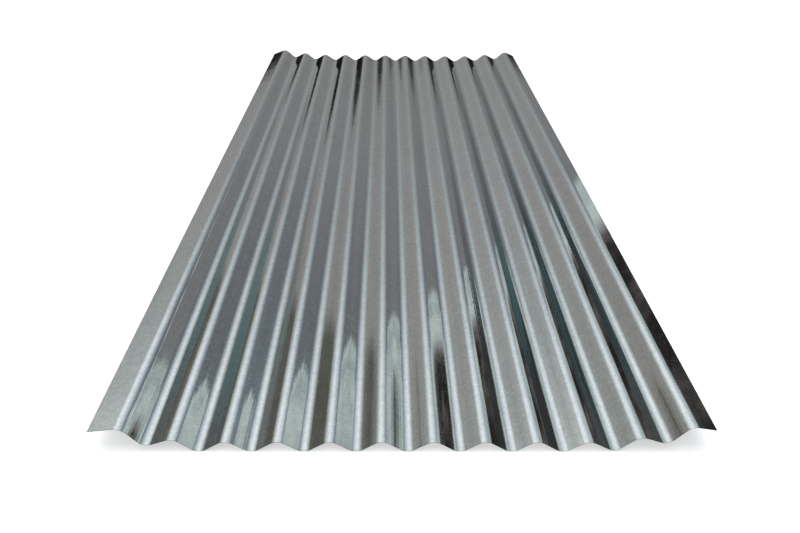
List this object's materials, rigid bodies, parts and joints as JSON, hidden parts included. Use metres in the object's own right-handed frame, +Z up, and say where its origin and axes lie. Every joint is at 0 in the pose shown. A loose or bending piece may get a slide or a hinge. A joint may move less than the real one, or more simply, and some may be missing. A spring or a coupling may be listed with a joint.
{
  "type": "corrugated metal sheet",
  "caption": "Long galvanised steel roofing sheet rolled into even round waves, with both side edges turned down and curling slightly up off the ground.",
  "frame": {"origin": "middle of the sheet's box in plan, on the level surface that its valleys lie on", "axes": "+X across the waves towards the side edge with the shorter lip, +Y along the waves, +Z up out of the sheet's top face"},
  "size_m": [0.905, 2, 0.0478],
  "materials": {
    "galvanised_steel": "satin"
  },
  "bodies": {
    "root": {"corrugated_sheet": "galvanised_steel"}
  },
  "joints": []
}
